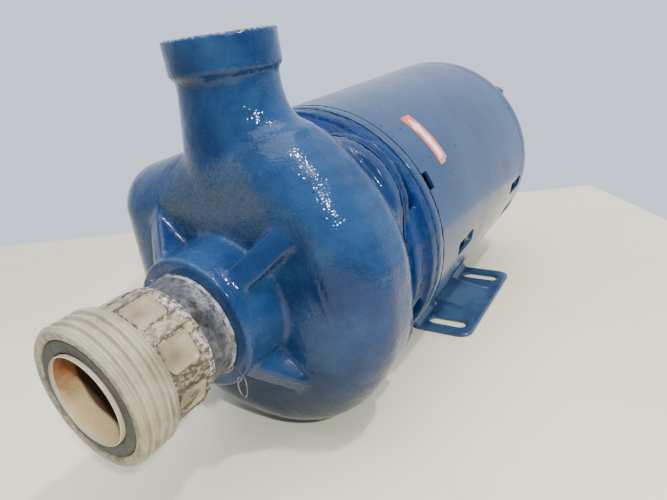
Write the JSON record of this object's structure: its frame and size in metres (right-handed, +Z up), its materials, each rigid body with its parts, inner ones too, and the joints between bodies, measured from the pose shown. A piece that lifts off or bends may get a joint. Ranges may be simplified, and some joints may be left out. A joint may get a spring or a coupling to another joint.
{
  "type": "centrifugal water pump",
  "caption": "Close-coupled end-suction centrifugal pump with a volute casing, a vertical discharge collar, a threaded suction union and a foot-mounted electric motor.",
  "frame": {"origin": "centre of the four foot slots on the base's underside, below the shaft axis", "axes": "+Z up along the discharge, +Y along the shaft from the suction end to the motor's rear, +X to the right seen from the suction end"},
  "size_m": [0.1703, 0.3956, 0.2181],
  "materials": {
    "casing_enamel": "gloss enamel over rough sand casting",
    "adapter_enamel": "gloss enamel over rough sand casting",
    "shell_enamel": "smooth gloss enamel on rolled steel",
    "base_enamel": "gloss enamel on pressed sheet steel",
    "steel": "zinc-plated, dull",
    "bearing_steel": "ground",
    "rotor_steel": "laminated electrical steel",
    "galvanised": "galvanised, weathered",
    "cast_iron": "as cast",
    "bronze": "machined",
    "fan_aluminium": "die cast",
    "winding_copper": "varnished enamelled wire",
    "rubber": "matte",
    "gasket_fibre": "compressed fibre",
    "seal_ceramic": "lapped",
    "seal_carbon": "lapped carbon",
    "tape": "thin thread-seal tape",
    "union_plastic": "weathered off-white moulded plastic",
    "sleeve_plastic": "rust-stained cream plastic",
    "label_film": "printed film"
  },
  "bodies": {
    "housing": {"adapter_bracket": "adapter_enamel", "base_cradle": "base_enamel", "casing_bolts": "adapter_enamel", "casing_gasket": "gasket_fibre", "cover_screws": "steel", "drive_end_shield": "shell_enamel", "front_bearing_outer_ring": "bearing_steel", "motor_shell": "shell_enamel", "rear_bearing_outer_ring": "bearing_steel", "rear_end_shield": "shell_enamel", "rotation_label": "label_film", "seal_seat": "seal_ceramic", "stator_core": "rotor_steel", "stator_windings": "winding_copper", "suction_nipple": "galvanised", "terminal_cover": "shell_enamel", "thread_tape": "tape", "through_bolt_nuts": "shell_enamel", "through_bolts": "steel", "union_body": "union_plastic", "union_gasket": "rubber", "union_sleeve": "sleeve_plastic", "volute_casing": "casing_enamel", "wave_washer": "steel", "wear_ring": "bronze"},
    "rotor": {"motor_shaft": "steel", "rotor_core": "rotor_steel", "rotor_fan": "fan_aluminium", "impeller": "cast_iron", "impeller_washer": "steel", "impeller_screw": "steel", "water_slinger": "rubber", "seal_head": "seal_carbon", "seal_spring": "steel", "front_bearing_inner_ring": "bearing_steel", "front_bearing_balls": "bearing_steel", "rear_bearing_inner_ring": "bearing_steel", "rear_bearing_balls": "bearing_steel"}
  },
  "joints": [
    {"name": "shaft_spin", "type": "hinge", "parent": "housing", "child": "rotor", "pos_m": [0, 0, 0.0889], "axis": [0, -1, 0], "continuous": true}
  ]
}
